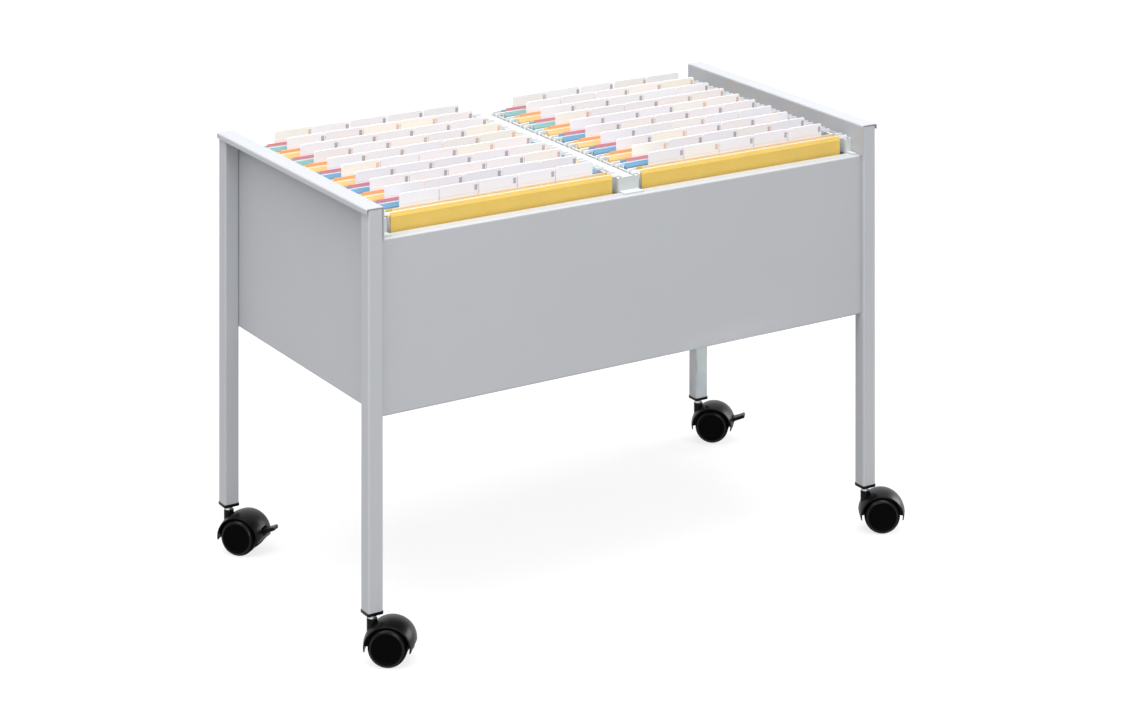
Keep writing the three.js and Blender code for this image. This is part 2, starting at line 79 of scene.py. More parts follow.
def amount(name, description, default):
    return FloatProperty(name=name, description=description, subtype="FACTOR", min=0, max=1, default=default)


def power(name, description, watts):
    return FloatProperty(name=name, description=description, unit="POWER", default=watts)


class CartFinishes(bpy.types.PropertyGroup):
    """Colours of the cart's steel and plastic"""

    silver: colour("Silver coat", "Powder coat of the legs and panels", (0.424, 0.436, 0.458))
    silver_roughness: amount("Coat roughness", "Roughness of the powder coat", 0.5)
    rail: colour("Rail", "Plastic of the file rails", (0.485, 0.51, 0.51))
    black: colour("Black plastic", "Moulded plastic of hoods, levers and plugs", (0.003, 0.003, 0.0034))
    wheel: colour("Wheel", "Moulded plastic of the wheels", (0.0012, 0.0012, 0.0013))
    zinc: colour("Zinc", "Plated steel of stems, axles and hanger bars", (0.62, 0.63, 0.65))


class CartCasters(bpy.types.PropertyGroup):
    """Sizes of the twin-wheel casters"""

    trail: length("Trail", "From the stem's axis to the axle", 22)
    wheel_radius: length("Wheel radius", "Radius of the tread", 24)
    wheel_inner: length("Wheel inner face", "From the middle of the caster to a wheel's inner face", 4.5)
    wheel_width: length("Wheel width", "Width of one wheel", 17.6)
    hood_top: length("Hood radius", "Outer radius of the hood at its middle, before the stretch", 29.2)
    hood_wall: length("Hood wall", "Wall of the hood at its middle", 2.4)
    hood_half: length("Hood half width", "From the middle of the hood to its rims", 19.5)
    hood_drop: length("Hood drop", "From the axle down to the middle of the hood's curve", 0.5)
    hood_stretch: FloatProperty(
        name="Hood stretch", description="Length of the hood over its height", subtype="FACTOR", default=1.08)
    stem_neck: length("Neck radius", "Radius of the bare neck of the stem", 5.4)


class CartFiles(bpy.types.PropertyGroup):
    """Sizes and colours of the hanging files"""

    card_length: length("Card length", "Length of a file's card", 314.1)
    thickness: length("Thickness", "Thickness of a filled file at its top", 16)
    height: length("Height", "From the tops of the rails to the fold at the foot", 226)
    tab_width: length("Tab width", "Width of one tab", 54)
    tab_pitch: length("Tab pitch", "From one tab to the next", 55)
    tab_shift: length("Tab shift", "Middle of the row of tabs from the middle of the card", -1.5)
    tab_rise: length("Tab rise", "Height of a tab above the card", 17)
    tab_count: IntProperty(name="Tabs", description="Tabs in the row of each file", default=5, min=1, max=8)
    yellow: colour("Yellow card", "Card of the front files", (0.58, 0.40, 0.096))
    orange: colour("Orange card", "Card of every second file", (0.79, 0.50, 0.20))
    blue: colour("Blue card", "Card of the files near the front", (0.155, 0.33, 0.51))
    teal: colour("Teal card", "Card of the files near the rear", (0.23, 0.42, 0.43))
    red: colour("Red folder", "Inner folder of the blue and teal files", (0.68, 0.26, 0.30))
    amber: colour("Amber folder", "Inner folder of the orange files", (0.79, 0.40, 0.21))
    buff: colour("Buff folder", "Inner folder of the yellow files", (0.72, 0.57, 0.40))
    paper: colour("Paper", "Sheets in the files", (0.85, 0.85, 0.83))
    tab: colour("Tab", "Inserts of the tabs", (0.90, 0.90, 0.955))
    rose: colour("Rose tint", "Tint of some of the inserts", (0.93, 0.87, 0.91))
    cream: colour("Cream tint", "Tint of other inserts", (0.94, 0.91, 0.84))
    # Colour of the faint grey-blue line across the inserts near their foot.
    foot_line: colour("Ruling", "Ruled line on the inserts", (0.35, 0.36, 0.45))
    slate: colour("Slate mark", "Darkest of the inserts' colour marks", (0.12, 0.13, 0.2))
    rust: colour("Rust mark", "Warmest of the inserts' colour marks", (0.75, 0.38, 0.22))
    # Painted shade: the front row's inserts are made darker than the others'.
    front_painted_shade: amount("Front tab tone", "Tone of the front row's inserts against the others", 0.86)


class CartStudio(bpy.types.PropertyGroup):
    """Floor and light"""

    floor: colour("Floor", "Colour of the floor", (0.18, 0.18, 0.18))
    floor_glow: amount("Floor glow", "Whiteness that the floor adds where it is seen", 0.78)
    sky: amount("Sky", "Strength of the even light from all sides", 0.36)
    overhead: FloatProperty(
        name="Overhead light", description="Strength of the soft light from above", default=3.8)
    front: power("Front lamp", "Power of the lamp in front of the cart", 46)
    left: power("Left lamp", "Power of the lamp on the left of the cart", 42)
    right: power("Right lamp", "Power of the low lamp on the right of the cart", 52)
    back: power("Back lamp", "Power of the lamp behind the cart", 8)
    fill: power("Fill lamp", "Power of the low lamp in front of the cart", 18)
    under: power("Under lamp", "Power of the narrow lamp that shines under the cart", 0.11)


# Meshes worked out as arrays

def flipped_outwards(points, quads, caps):
    """The faces in the order that makes the shell's volume, the sum of its corner tetrahedra, positive."""
    triangles = [quads[:, [0, 1, 2]], quads[:, [0, 2, 3]]]
    for cap in caps:
        fan = np.array(cap)
        triangles.append(np.stack([np.full(len(fan) - 2, fan[0]), fan[1:-1], fan[2:]], -1))
    a, b, c = np.moveaxis(points[np.concatenate(triangles)], 1, 0)
    if np.einsum("ij,ij->", a, np.cross(b, c)) < 0:
        return quads[:, ::-1], [cap[::-1] for cap in caps]
    return quads, caps


def loft(rings, wrap):
    """A closed shell over an array of rings: quads join point j of ring i to point j + 1 of ring i + 1, round
    each ring. The end rings are filled, or joined to each other where the path wraps."""
    count, around = rings.shape[:2]
    i, j = np.meshgrid(np.arange(count if wrap else count - 1), np.arange(around), indexing="ij")
    after = (i + 1) % count
    beside = (j + 1) % around
    quads = np.stack([i * around + j, i * around + beside, after * around + beside, after * around + j], -1)
    quads = quads.reshape(-1, 4)
    caps = []
    if not wrap:
        caps = [list(range(around))[::-1], list(range((count - 1) * around, count * around))]
    points = rings.reshape(-1, 3)
    quads, caps = flipped_outwards(points, quads, caps)
    return points, quads.tolist() + caps


def once_round(steps):
    """Even angles from 0 up to 2 pi."""
    return np.linspace(0, 2 * np.pi, steps, endpoint=False)


def lathe(profile, steps):
    """A profile of (radius, height) turned once about the third axis: (r cos a, r sin a, h)."""
    radius, height = np.asarray(profile, float).T[..., None]
    angle = once_round(steps)
    return np.stack([radius * np.cos(angle), radius * np.sin(angle), height + 0 * angle], -1)


def drawn_in(outline, inset):
    """An outline moved inwards: a corner goes by the sum of its edges' normals over 1 plus their product."""
    edge = np.roll(outline, -1, axis=0) - outline
    normal = np.stack([-edge[:, 1], edge[:, 0]], -1) / np.linalg.norm(edge, axis=1, keepdims=True)
    x, z = outline.T
    normal = normal * np.sign(np.sum(x * np.roll(z, -1) - np.roll(x, -1) * z))
    before = np.roll(normal, 1, axis=0)
    mitre = (before + normal) / (1 + np.sum(before * normal, axis=1, keepdims=True))
    return outline + inset * mitre


def plate(outline, low, high, bevel):
    """A flat outline (x, z) carried along y from low to high, drawn in by the bevel at both faces."""
    outline = np.asarray(outline, float)
    faces = [drawn_in(outline, bevel), outline, outline, drawn_in(outline, bevel)]
    depths = [low, low + bevel, high - bevel, high]
    return np.stack([np.insert(face, 1, depth, axis=1) for face, depth in zip(faces, depths)])


def rounded_rectangle(left, right, foot, top, foot_radius, top_radius, steps=5):
    """Corner points of an upright rectangle with quarter circles of one radius below and another above."""
    quarter = np.linspace(0, np.pi / 2, steps)
    x, z, radius, start = np.array([
        (right - top_radius, top - top_radius, top_radius, 0.0),
        (left + top_radius, top - top_radius, top_radius, np.pi / 2),
        (left + foot_radius, foot + foot_radius, foot_radius, np.pi),
        (right - foot_radius, foot + foot_radius, foot_radius, 1.5 * np.pi),
    ]).T[..., None]
    angle = start + quarter
    return np.stack([x + radius * np.cos(angle), z + radius * np.sin(angle)], -1).reshape(-1, 2)


def middle_of(node):
    """The middle of a node from above, in millimetres: (x, y, 0)."""
    low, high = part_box(node)
    return np.array([low.x + high.x, low.y + high.y, 0.0]) / MM / 2


def shifted(shift):
    """The map that adds a shift to points."""
    return lambda points: points + shift


class Shell:
    """A closed surface in millimetres, the number of its finish, and three marks for each of its points."""

    def __init__(self, rings, finish=0, marks=None, wrap=False):
        self.points, self.faces = loft(np.asarray(rings, float), wrap)
        self.finish = finish
        self.marks = np.zeros_like(self.points) if marks is None else marks.reshape(-1, 3)


def new_object(name, data):
    """An object with this data, linked into the scene."""
    made = bpy.data.objects.new(name, data)
    bpy.context.scene.collection.objects.link(made)
    return made


def build_piece(name, shells, move, finishes, body, nodes=(), sharp=32):
    """One object of several shells, at the origin with its place in its mesh, that rides on a body. Edges
    over the sharp angle, in degrees, stay crisp."""
    starts = np.cumsum([0] + [len(shell.points) for shell in shells])
    points = np.concatenate([move(shell.points) for shell in shells]) * MM
    faces = [[start + k for k in face] for start, shell in zip(starts, shells) for face in shell.faces]
    mesh = bpy.data.meshes.new(name)
    mesh.from_pydata(points.tolist(), [], faces)
    for material in finishes:
        mesh.materials.append(material)
    numbers = np.concatenate([np.full(len(shell.faces), shell.finish) for shell in shells])
    mesh.polygons.foreach_set("material_index", numbers.astype(np.int32))
    marks = np.concatenate([shell.marks for shell in shells])
    attribute = mesh.attributes.new("marks", "FLOAT_VECTOR", "POINT")
    attribute.data.foreach_set("vector", marks.astype(np.float32).ravel())
    mesh.shade_smooth()
    mesh.set_sharp_from_angle(angle=math.radians(sharp))
    if mesh.validate():
        raise RuntimeError(f"{name} has faces that are not valid")
    piece = new_object(name, mesh)
    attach(piece, body)
    if nodes:
        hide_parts(*nodes)


# Shader maths

class Value:
    """An output of a node. Python's operators on it add Math nodes to its tree."""

    def __init__(self, tree, socket):
        self.tree = tree
        self.socket = socket

    def maths(self, operation, first, second):
        return self.tree.node("ShaderNodeMath", {"operation": operation}, {0: first, 1: second})

    def __add__(self, other):
        return self.maths("ADD", self, other)

    def __rsub__(self, other):
        return self.maths("SUBTRACT", other, self)

    def __mul__(self, other):
        return self.maths("MULTIPLY", self, other)

    def __gt__(self, other):
        return self.maths("GREATER_THAN", self, other)

    def __lt__(self, other):
        return self.maths("LESS_THAN", self, other)

    __radd__ = __add__
    __rmul__ = __mul__


def within(value, low, high):
    """1 where a value lies between low and high, and 0 elsewhere."""
    return (value > low) * (value < high)


class Tree:
    """The nodes of one material or of the world."""

    def __init__(self, owner):
        owner.use_nodes = True
        self.nodes = owner.node_tree.nodes
        self.links = owner.node_tree.links
        self.nodes.clear()

    def node(self, kind, settings=None, sockets=None, output=0):
        """Adds a node, applies its settings, sets or links its sockets, and returns an output or several."""
        made = self.nodes.new(kind)
        for key, value in (settings or {}).items():
            setattr(made, key, value)
        for key, value in (sockets or {}).items():
            if isinstance(value, Value):
                self.links.new(value.socket, made.inputs[key])
            else:
                made.inputs[key].default_value = value
        if isinstance(output, tuple):
            return [Value(self, made.outputs[key]) for key in output]
        return Value(self, made.outputs[output]) if len(made.outputs) else None

    def place(self):
        return self.node("ShaderNodeTexCoord", output="Object")

    def marks(self):
        """The three marks of the piece's points."""
        vector = self.node("ShaderNodeAttribute", {"attribute_name": "marks"}, None, "Vector")
        return self.node("ShaderNodeSeparateXYZ", None, {0: vector}, (0, 1, 2))

    def noise(self, scale, detail=2.0, roughness=0.5):
        """Noise over the piece's place. Three scales, one for each axis, draw it out into streaks."""
        vector = self.place()
        if isinstance(scale, tuple):
            vector = self.node("ShaderNodeMapping", None, {"Vector": vector, "Scale": scale})
            scale = 1.0
        sockets = {"Vector": vector, "Scale": scale, "Detail": detail, "Roughness": roughness}
        return self.node("ShaderNodeTexNoise", None, sockets)

    def spread(self, value, low, high):
        """A value between low and high mapped to 0 to 1 and held there."""
        return self.node("ShaderNodeMapRange", None, {"Value": value, "From Min": low, "From Max": high})

    def mix(self, factor, first, second):
        return self.node("ShaderNodeMix", {"data_type": "RGBA"}, {0: factor, 6: first, 7: second}, 2)

    def tones(self, factor, rgb, dark, light):
        """A colour that goes from a darker tone to a lighter one."""
        return self.mix(factor, shade(rgb, dark), shade(rgb, light))

    def bump(self, height, strength, depth):
        return self.node("ShaderNodeBump", None, {"Height": height, "Strength": strength, "Distance": depth})

    def seen(self):
        """1 for what the camera sees itself, in a reflection or through a clear piece, and 0 otherwise."""
        rays = ("Is Camera Ray", "Is Glossy Ray", "Is Transmission Ray")
        camera, glossy, clear = self.node("ShaderNodeLightPath", output=rays)
        return self.node("ShaderNodeMath", {"operation": "MINIMUM"}, {0: camera + glossy + clear, 1: 1.0})


def shade(rgb, factor=1.0):
    return tuple(min(1.0, channel * factor) for channel in rgb) + (1.0,)


class Finish(Tree):
    """A material with one Principled shader: settings are constants, and what varies is linked."""

    def __init__(self, name, **constants):
        self.material = bpy.data.materials.new(name)
        super().__init__(self.material)
        self.shader = self.nodes.new("ShaderNodeBsdfPrincipled")
        out = self.nodes.new("ShaderNodeOutputMaterial")
        self.links.new(self.shader.outputs[0], out.inputs[0])
        for key, value in constants.items():
            self.shader.inputs[key.replace("_", " ")].default_value = value

    def feed(self, **links):
        for key, value in links.items():
            self.links.new(value.socket, self.shader.inputs[key.replace("_", " ")])
        return self.material


# Finishes

def silver_coat(finishes):
    """Satin silver powder coat: metallic specks, a fine orange peel and slow clouds of tone."""
    coat = Finish("silver_coat", Metallic=0.15, Specular_IOR_Level=0.45)
    cloud = coat.noise(7.0, detail=3.0)
    speck = coat.spread(coat.noise(2600.0, detail=1.0), low=0.35, high=0.65)
    peel = coat.noise(620.0)
    tone = coat.tones(0.7 * cloud + 0.3 * speck, finishes.silver, dark=0.965, light=1.035)
    rough = finishes.silver_roughness - 0.05 + 0.1 * peel
    relief = coat.bump(peel + 0.4 * speck, strength=0.12, depth=0.00008)
    return coat.feed(Base_Color=tone, Roughness=rough, Normal=relief)


def rail_plastic(finishes):
    """White extruded plastic: faint die lines along its length and a little dust in patches."""
    rail = Finish("rail_plastic", Specular_IOR_Level=0.25)
    lines = rail.noise((900.0, 3.0, 900.0))
    dust = rail.noise(28.0, detail=4.0)
    tone = rail.tones(0.6 * lines + 0.4 * dust, finishes.rail, dark=0.95, light=1.04)
    relief = rail.bump(lines, strength=0.15, depth=0.0001)
    return rail.feed(Base_Color=tone, Roughness=0.46 + 0.14 * dust, Normal=relief)


def moulded_black(finishes):
    """Satin black nylon: a fine moulded grain and soft flow marks, darker where they have more gloss."""
    black = Finish("moulded_black", Specular_IOR_Level=0.1)
    grain = black.noise(1500.0, roughness=0.6)
    flow = black.noise(55.0, detail=3.0)
    tone = black.tones(flow, finishes.black, dark=0.8, light=1.35)
    relief = black.bump(grain, strength=0.22, depth=0.00006)
    return black.feed(Base_Color=tone, Roughness=0.27 + 0.12 * flow, Normal=relief)


def wheel_black(finishes):
    """Black wheel, by its radius in millimetres: turned rings, a scuffed tread and a polished band where the
    shoulder rolls into the face."""
    wheel = Finish("wheel_black", Specular_IOR_Level=0.02, Coat_Roughness=0.2)
    radius = wheel.marks()[0]
    rings = wheel.node("ShaderNodeMath", {"operation": "SINE"}, {0: radius * 7.0})
    tread = wheel.spread(radius, low=22.5, high=23.9)
    scuff = wheel.noise(240.0, detail=4.0)
    tone = wheel.tones(tread * scuff, finishes.wheel, dark=0.9, light=2.6)
    rough = 0.36 + 0.2 * tread + 0.1 * scuff
    band = wheel.spread(radius, low=18.4, high=19.8) * (1.0 - wheel.spread(radius, low=20.8, high=22.2))
    relief = wheel.bump(0.25 * rings + scuff, strength=0.15, depth=0.00006)
    return wheel.feed(Base_Color=tone, Roughness=rough, Coat_Weight=0.34 * band, Normal=relief)


def plated_zinc(finishes):
    """Zinc-plated steel: fine turning lines, a crystal mottle and cloudy gloss."""
    zinc = Finish("plated_zinc", Metallic=1.0)
    lines = zinc.noise((40.0, 40.0, 2600.0), detail=1.0)
    mottle = zinc.noise(420.0, detail=3.0)
    tone = zinc.tones(mottle, finishes.zinc, dark=0.86, light=1.1)
    relief = zinc.bump(lines, strength=0.2, depth=0.00004)
    return zinc.feed(Base_Color=tone, Roughness=0.22 + 0.2 * mottle, Normal=relief)


def hanger_steel(finishes):
    """Pale galvanised strip: bright spangle and faint rolling lines."""
    strip = Finish("hanger_steel", Metallic=0.35)
    spangle = strip.noise(700.0, detail=3.0)
    rolled = strip.noise((20.0, 900.0, 900.0), detail=1.0)
    tone = strip.tones(spangle, finishes.zinc, dark=1.18, light=1.4)
    relief = strip.bump(rolled, strength=0.15, depth=0.00004)
    return strip.feed(Base_Color=tone, Roughness=0.4 + 0.15 * spangle, Normal=relief)


def dyed_card(name, rgb):
    """Dyed card: fibres along its length, a mottled dye, and a matt tooth."""
    card = Finish(name, Specular_IOR_Level=0.25)
    fibre = card.noise((160.0, 900.0, 900.0), detail=3.0, roughness=0.6)
    dye = card.noise(34.0, detail=4.0, roughness=0.6)
    tone = card.tones(0.45 * fibre + 0.55 * dye, rgb, dark=0.86, light=1.16)
    relief = card.bump(fibre, strength=0.25, depth=0.00012)
    return card.feed(Base_Color=tone, Roughness=0.62 + 0.16 * fibre, Normal=relief)


def paper_stack(files):
    """Stacked sheets: thin dark lines between them and a slight change of tone in patches."""
    paper = Finish("paper_stack", Specular_IOR_Level=0.2, Roughness=0.85)
    sheet = paper.noise((3.0, 6500.0, 3.0), detail=1.0)
    age = paper.noise(45.0)
    tone = paper.tones(0.7 * sheet + 0.3 * age, files.paper, dark=0.8, light=1.05)
    return paper.feed(Base_Color=tone, Normal=paper.bump(sheet, strength=0.3, depth=0.0002))


def tab_insert(name, files, tone):
    """Pale insert of a tab, by the shares across and up it and a number that picks its colours: a tint, a
    faint grey-blue line near its foot, and on most a plain block of colour. A tone under 1 darkens it all as
    painted shade."""
    tab = Finish(name, Specular_IOR_Level=0.5, Roughness=0.3)
    across, up, pick = tab.marks()
    fibre = tab.noise(500.0)
    # The tone scales every colour of the insert; below 1 it is painted shade.
    cool = tab.mix(pick, shade(files.tab, 0.97 * tone), shade(files.rose, tone))
    warm = tab.mix(tab.spread(pick, low=0.6, high=0.9), cool, shade(files.cream, tone))
    paper = tab.mix(0.3 * fibre, warm, shade(files.tab, 0.92 * tone))
    # A faint grey-blue line across the insert near its foot.
    foot_lined = tab.mix(0.2 * within(up, low=0.16, high=0.22), paper, shade(files.foot_line))
    block = within(across, low=0.895, high=0.975) * within(up, low=0.34, high=0.76) * (pick > 0.12)
    dye = tab.mix(tab.spread(pick, low=0.5, high=1.0), shade(files.slate), shade(files.rust))
    relief = tab.bump(fibre, strength=0.08, depth=0.00005)
    return tab.feed(Base_Color=tab.mix(0.62 * block, foot_lined, dye), Normal=relief)


SHARED = {}


def shared(make, finishes):
    """A finish that several operators use, made the first time that it is asked for."""
    if make not in SHARED:
        SHARED[make] = make(finishes)
    return SHARED[make]


def dress_nodes(names, material):
    """Puts a finish on CAD nodes as they stand."""
    for name in names:
        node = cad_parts[name]
        if not node.material_slots:
            raise RuntimeError(f"{name} has no material slot")
        for slot in node.material_slots:
            slot.material = material


# Frame

class CART_OT_coat_frame(bpy.types.Operator):
    """Coats the legs and panels with satin silver powder"""

    bl_idname = "cart.coat_frame"
    bl_label = "Coat Frame"

    def execute(self, context):
        names = [f"leg_{corner}" for corner in CORNERS]
        names += ["side_panel_left", "side_panel_right", "front_panel", "rear_panel"]
        dress_nodes(names, silver_coat(context.scene.cart_finishes))
        return {"FINISHED"}


class CART_OT_finish_rails(bpy.types.Operator):
    """Gives the three file rails their white plastic"""

    bl_idname = "cart.finish_rails"
    bl_label = "Finish Rails"

    def execute(self, context):
        names = ["file_rail_left", "file_rail_centre", "file_rail_right"]
        dress_nodes(names, rail_plastic(context.scene.cart_finishes))
        return {"FINISHED"}


class CART_OT_finish_axles(bpy.types.Operator):
    """Gives the axles their zinc"""

    bl_idname = "cart.finish_axles"
    bl_label = "Finish Axles"

    def execute(self, context):
        zinc = shared(plated_zinc, context.scene.cart_finishes)
        dress_nodes([f"caster_axle_{corner}" for corner in CORNERS], zinc)
        return {"FINISHED"}


class CART_OT_mould_plugs(bpy.types.Operator):
    """Moulds the tube plugs: a collar that laps the end of the leg, and a ribbed shank inside it"""

    bl_idname = "cart.mould_plugs"
    bl_label = "Mould Plugs"

    # Collar: its lap over the leg, how far it stands proud, and its corners
    LAP, PROUD, CORNER = 0.8, 0.35, 2.2
    # Edges of the collar, as steps inwards and up from its foot and from its end
    FOOT_EDGE = ((0.9, -0.5), (0.3, -0.3), (0.0, 0.3))
    END_EDGE = ((0.0, -0.3), (0.25, 0.0))
    # Shank: half width, corners, start over the collar's foot, taper at its top, and its ribs
    SHANK, SHANK_CORNER, START, TAPER, RIB, RIBS = 8.2, 1.0, 0.4, 0.8, 0.5, 8

    def stacked(self, profile, corner_radius):
        """Rounded squares carried up the leg's axis: each row of the profile is (half width, height)."""
        rings = []
        for half, height in profile:
            outline = rounded_rectangle(-half, half, -half, half, corner_radius, corner_radius)
            rings.append(np.insert(outline, 2, height, axis=1))
        return Shell(np.stack(rings))

    def execute(self, context):
        black = shared(moulded_black, context.scene.cart_finishes)
        for corner in CORNERS:
            node = f"tube_plug_{corner}"
            low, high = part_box(node)
            foot, top = low.z / MM, high.z / MM
            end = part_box(f"leg_{corner}")[0].z / MM + self.LAP
            wide = (high.x - low.x) / MM / 2 + self.PROUD
            collar = [(wide - x, foot + z) for x, z in self.FOOT_EDGE]
            collar += [(wide - x, end + z) for x, z in self.END_EDGE]
            rise = (top - end) / self.RIBS
            shank = [(self.SHANK, foot + self.START)]
            shank += [(self.SHANK - self.RIB * (k % 2), end + rise * k) for k in range(self.RIBS)]
            shank += [(self.SHANK - self.TAPER, top)]
            shells = [self.stacked(collar, self.CORNER), self.stacked(shank, self.SHANK_CORNER)]
            place = shifted(middle_of(node))
            build_piece(f"plug_{corner}", shells, place, [black], "frame", [node])
        return {"FINISHED"}


# Casters

def caster_place(corner):
    """The map from a caster's own millimetres to the cart's: +x turns about the stem to face the axle."""
    stem = middle_of(f"caster_stem_{corner}")
    way = (middle_of(f"caster_axle_{corner}") - stem)[:2]
    cosine, sine = way / np.linalg.norm(way)

    def move(points):
        x, y, z = points.T
        return np.stack([stem[0] + cosine * x - sine * y, stem[1] + sine * x + cosine * y, z], -1)

    return move


class CART_OT_turn_stems(bpy.types.Operator):
    """Turns the caster stems: a bare neck with a groove between the boss and the plug"""

    bl_idname = "cart.turn_stems"
    bl_label = "Turn Stems"

    STEPS = 40
    # Peg as radius and height over the stem's foot, and neck as step inwards and height
    PEG = ((0.5, 0.0), (3.4, 0.0), (4.0, 0.6), (4.0, 9.3))
    NECK = ((0.5, 9.3), (0.0, 9.8), (0.0, 11.3), (0.5, 11.7), (0.5, 12.5), (0.0, 12.9))
    # Top of the neck as step inwards and depth under the stem's top, and shank as radius and depth
    NECK_TOP = ((0.0, 22.6), (0.5, 22.1))
    SHANK = ((4.8, 22.1), (4.8, 0.8), (4.0, 0.0), (0.5, 0.0))

    def execute(self, context):
        neck = context.scene.cart_casters.stem_neck / MM
        zinc = shared(plated_zinc, context.scene.cart_finishes)
        for corner in CORNERS:
            node = f"caster_stem_{corner}"
            low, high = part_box(node)
            foot, top = low.z / MM, high.z / MM
            profile = [(radius, foot + up) for radius, up in self.PEG]
            profile += [(neck - inwards, foot + up) for inwards, up in self.NECK]
            profile += [(neck - inwards, top - down) for inwards, down in self.NECK_TOP]
            profile += [(radius, top - down) for radius, down in self.SHANK]
            shell = Shell(lathe(profile, self.STEPS))
            place = shifted(middle_of(node))
            build_piece(f"stem_{corner}", [shell], place, [zinc], "frame", [node])
        return {"FINISHED"}


class HoodForm:
    """The hood's surfaces over the axle. At a distance y from its middle the outer radius is
    top - CROWN (y / half)^2 and the inner one top - wall - INNER_CROWN (y / half)^2, both stretched along the
    caster. Angles run up from straight back, and both ends taper to a tip."""

    # Wall: its crowns, the bulge of its rims, how far its loop closes in the taper, and its angles
    CROWN, INNER_CROWN, BULGE, PINCH = 2.6, 1.6, 0.45, 0.02
    SHOULDER, TIP, TURN = math.radians(6), math.radians(10), math.radians(3.5)
    WIDE_STEPS, SIDE_STEPS, SLOT_STEPS, RIM_STEPS, LEAST_STEPS = 29, 11, 9, 5, 4
    # Lever's slot: half width, radius of its floor, and its angles
    SLOT_HALF, SLOT_FLOOR, SLOT_LOW, SLOT_HIGH = 6.3, 24.2, math.radians(3), math.radians(25)
    # Web: half width, inner radius, grip in the wall, steps, and the angle in which it drops into the slot
    WEB, WEB_FOOT, WEB_GRIP, WEB_STEPS, CUT = 3.2, 3.15, 0.6, 60, 1e-4
    # Hub: radius, how far it stands proud of the web, and points round it and the boss
    HUB, HUB_PROUD, ROUND_STEPS = 8.0, 0.02, 40
    # Stem's boss: its radius, its depth in the wall, and each ring's share of the rise, drop and shrinkage
    BOSS, BOSS_SUNK = 6.4, 1.2
    BOSS_RINGS = ((0.0, 0.0, 1.0), (0.5, 0.0, 1.0), (1.0, 0.8, 1.0), (1.0, 0.2, 0.97), (1.0, 0.0, 0.9))

    def __init__(self, casters):
        self.top = casters.hood_top / MM
        self.inner = self.top - casters.hood_wall / MM
        self.half = casters.hood_half / MM
        self.trail = casters.trail / MM
        self.axle = casters.wheel_radius / MM
        self.stretch = casters.hood_stretch
        self.middle = self.axle - casters.hood_drop / MM

    def polar(self, radius, angle):
        """Places (x, z) by radius and angle: (trail + stretch r cos a, middle + r sin a)."""
        return self.trail + self.stretch * radius * np.cos(angle), self.middle + radius * np.sin(angle)

    def outer_radius(self, y):
        return self.top - self.CROWN * (y / self.half) ** 2

    def inner_radius(self, y):
        return self.inner - self.INNER_CROWN * (y / self.half) ** 2

    def taper(self, angle):
        """Radius of the straight line from the tip, on the inner radius, to the shoulder, on the outer."""
        low = np.minimum(angle, np.pi - angle)
        tip = self.inner * np.array([math.cos(self.TIP), -math.sin(self.TIP)])
        shoulder = self.top * np.array([math.cos(self.SHOULDER), math.sin(self.SHOULDER)])
        along = shoulder - tip
        normal = np.array([along[1], -along[0]]) / np.linalg.norm(along)
        reach = (normal @ tip) / (normal[0] * np.cos(low) + normal[1] * np.sin(low))
        return np.where(low < self.SHOULDER, reach, np.inf)

    def section(self, low, high, steps):
        """Loop (radius, y) of the hood's wall between two places along the axle. Its own rims bulge as half
        ellipses, and the sides of the slot are flat."""
        y = np.linspace(low, high, steps)
        outer = np.stack([self.outer_radius(y), y], -1)
        inner = np.stack([self.inner_radius(y[::-1]), y[::-1]], -1)
        rims = []
        for place, out in ((high, 1), (low, -1)):
            mid = (self.outer_radius(place) + self.inner_radius(place)) / 2
            thick = (self.outer_radius(place) - self.inner_radius(place)) / 2
            bulge = self.BULGE if abs(place) == self.half else 0.0
            turn = np.linspace(np.pi / 2, -np.pi / 2, self.RIM_STEPS)[1:-1] * out
            rims.append(np.stack([mid + thick * np.sin(turn) * out, place + out * bulge * np.cos(turn)], -1))
        return np.concatenate([outer, rims[0], inner, rims[1][::-1]])

    def wall(self, low, high, first, last, steps):
        """The section carried over the axle between two angles, with its radius held under the taper."""
        loop, y = self.section(low, high, steps).T
        steps = max(self.LEAST_STEPS, round((last - first) / self.TURN))
        angle = np.linspace(first, last, steps)[:, None]
        radius = np.minimum(loop, self.taper(angle) - self.PINCH * (self.inner - loop))
        x, z = self.polar(radius, angle)
        return Shell(np.stack([x, np.broadcast_to(y, radius.shape), z], -1))

    def walls(self, slotted):
        """The whole wall, or four walls round the lever's slot."""
        first, last = -self.TIP, np.pi + self.TIP
        if not slotted:
            return [self.wall(-self.half, self.half, first, last, self.WIDE_STEPS)]
        return [
            self.wall(-self.half, self.half, self.SLOT_HIGH, last, self.WIDE_STEPS),
            self.wall(-self.half, -self.SLOT_HALF, first, self.SLOT_HIGH, self.SIDE_STEPS),
            self.wall(self.SLOT_HALF, self.half, first, self.SLOT_HIGH, self.SIDE_STEPS),
            self.wall(-self.SLOT_HALF, self.SLOT_HALF, first, self.SLOT_LOW, self.SLOT_STEPS),
        ]

    def web(self, slotted):
        """The plate between the wheels: a rectangle about the axle whose reach drops under the slot."""
        angles = np.linspace(-self.TIP, np.pi + self.TIP, self.WEB_STEPS)
        if slotted:
            sides = [self.SLOT_LOW - self.CUT, self.SLOT_LOW, self.SLOT_HIGH, self.SLOT_HIGH + self.CUT]
            angles = np.sort(np.append(angles, sides))
        under_slot = slotted & (angles >= self.SLOT_LOW) & (angles <= self.SLOT_HIGH)
        reach = np.where(under_slot, self.SLOT_FLOOR, self.inner_radius(self.WEB) + self.WEB_GRIP)
        x, z = self.polar(reach, angles)
        foot_x = self.trail + self.WEB_FOOT * np.cos(angles)
        foot_z = self.axle + self.WEB_FOOT * np.sin(angles)
        y = np.broadcast_to([-self.WEB, self.WEB, self.WEB, -self.WEB], (len(angles), 4))
        corners = [np.stack([x, x, foot_x, foot_x], -1), y, np.stack([z, z, foot_z, foot_z], -1)]
        return Shell(np.stack(corners, -1))

